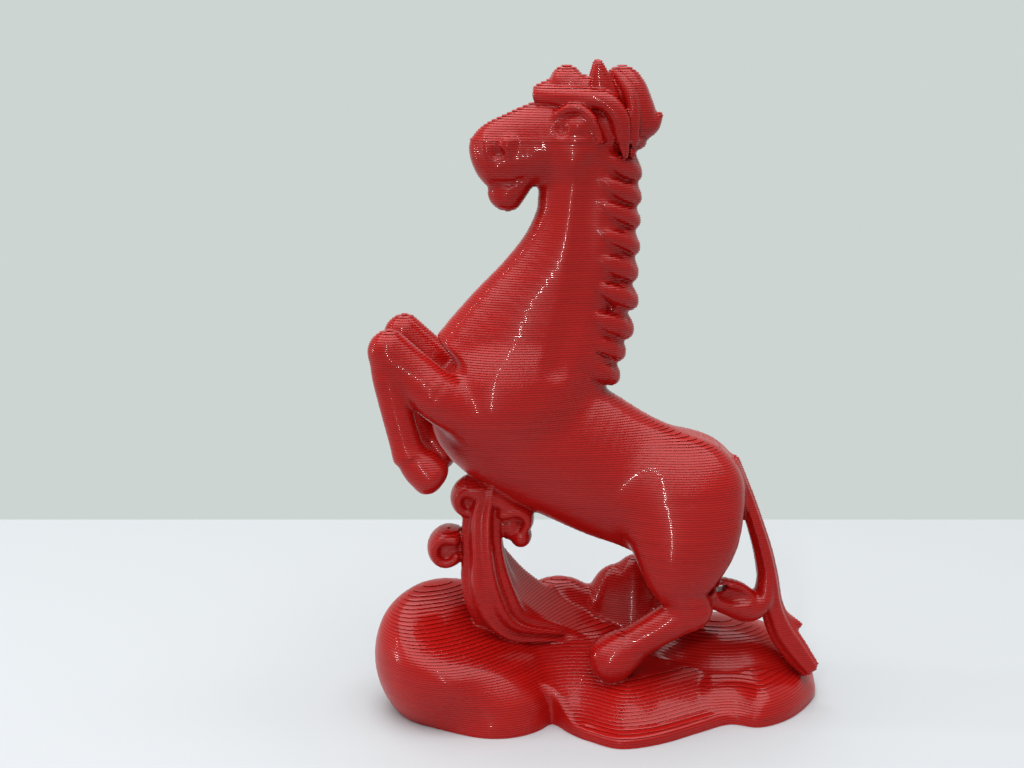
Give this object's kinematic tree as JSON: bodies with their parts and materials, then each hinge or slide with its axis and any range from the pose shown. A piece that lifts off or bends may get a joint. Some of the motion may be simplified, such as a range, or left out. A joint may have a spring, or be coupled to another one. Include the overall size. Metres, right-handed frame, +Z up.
{
  "type": "horse figurine",
  "caption": "Rearing horse ornament on a rock base, with a curling wave under its chest and a flat underside to stand on.",
  "frame": {"origin": "middle of the box round the figurine, on the surface that its flat underside stands on", "axes": "+Z up; the horse faces -X; its left side faces -Y"},
  "size_m": [0.0618, 0.0318, 0.0876],
  "materials": {
    "red_plastic": "glossy, with fine level printing lines"
  },
  "bodies": {
    "root": {"trunk": "red_plastic", "neck": "red_plastic", "head": "red_plastic", "lower_jaw": "red_plastic", "left_ear": "red_plastic", "right_ear": "red_plastic", "left_side_lock": "red_plastic", "right_side_lock": "red_plastic", "forelock": "red_plastic", "crest": "red_plastic", "mane": "red_plastic", "left_forearm": "red_plastic", "right_forearm": "red_plastic", "left_fore_shin": "red_plastic", "right_fore_shin": "red_plastic", "left_fore_hoof": "red_plastic", "right_fore_hoof": "red_plastic", "left_thigh": "red_plastic", "right_thigh": "red_plastic", "left_hind_shin": "red_plastic", "right_hind_shin": "red_plastic", "left_hind_hoof": "red_plastic", "right_hind_hoof": "red_plastic", "tail": "red_plastic", "tail_hook": "red_plastic", "boulder": "red_plastic", "wave": "red_plastic", "upper_curl": "red_plastic", "lower_curl": "red_plastic", "right_curl": "red_plastic", "back_rocks": "red_plastic", "base": "red_plastic"}
  },
  "joints": []
}
